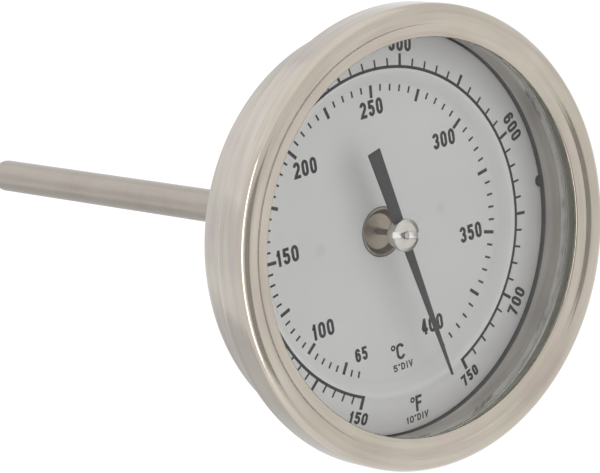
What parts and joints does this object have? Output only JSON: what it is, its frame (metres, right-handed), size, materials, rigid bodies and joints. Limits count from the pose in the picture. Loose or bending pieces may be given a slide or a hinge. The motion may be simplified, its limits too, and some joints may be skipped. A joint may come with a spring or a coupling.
{
  "type": "dial thermometer",
  "caption": "Round stainless dial thermometer with a rear stem: glass window, dished dual-scale dial, black pointer, hexagon fitting with a tapered pipe thread.",
  "frame": {"origin": "on the stem axis, at the face where the hexagon meets the pipe thread", "axes": "+Y along the stem towards its tip (the dial looks towards -Y), +Z towards the top of the dial, +X to the right of the dial as a reader sees it"},
  "size_m": [0.0842, 0.14, 0.0842],
  "materials": {
    "case_steel": "satin, drawn stainless sheet",
    "bezel_steel": "satin to semi-bright, spun stainless ring",
    "seat_steel": "turned",
    "window_glass": "clear flat glass, faint green edge",
    "gasket_rubber": "matt",
    "dial_face": "fine satin, printed black scale",
    "inner_steel": "turned",
    "nickel_plate": "nickel plated, turned",
    "fitting_steel": "machined stainless bar",
    "stem_steel": "satin drawn tube",
    "bimetal_strip": "rolled strip, faint straw tint",
    "brass_part": "turned",
    "pointer_paint": "matt black paint"
  },
  "bodies": {
    "housing": {"case_body": "case_steel", "bezel_ring": "bezel_steel", "glass_seat_ring": "seat_steel", "window_glass": "window_glass", "window_gasket": "gasket_rubber", "dial_plate": "dial_face", "dial_posts": "inner_steel", "centre_bush": "nickel_plate", "process_fitting": "fitting_steel", "backing_washer": "inner_steel", "stem_tube": "stem_steel", "stem_tip_plug": "stem_steel", "bimetal_coil": "bimetal_strip", "coil_anchor": "inner_steel", "guide_bush_lower": "brass_part", "guide_bush_middle": "brass_part"},
    "pointer": {"pointer_shaft": "inner_steel", "coil_collar": "brass_part", "pointer_boss": "nickel_plate", "pointer_blade": "pointer_paint", "pointer_hub": "nickel_plate"}
  },
  "joints": [
    {"name": "pointer_turn", "type": "hinge", "parent": "housing", "child": "pointer", "pos_m": [0, -0.0304, 0], "axis": [0, 1, 0], "range_deg": [-15, 352], "stiffness_Nm_per_rad": 0.00077}
  ]
}
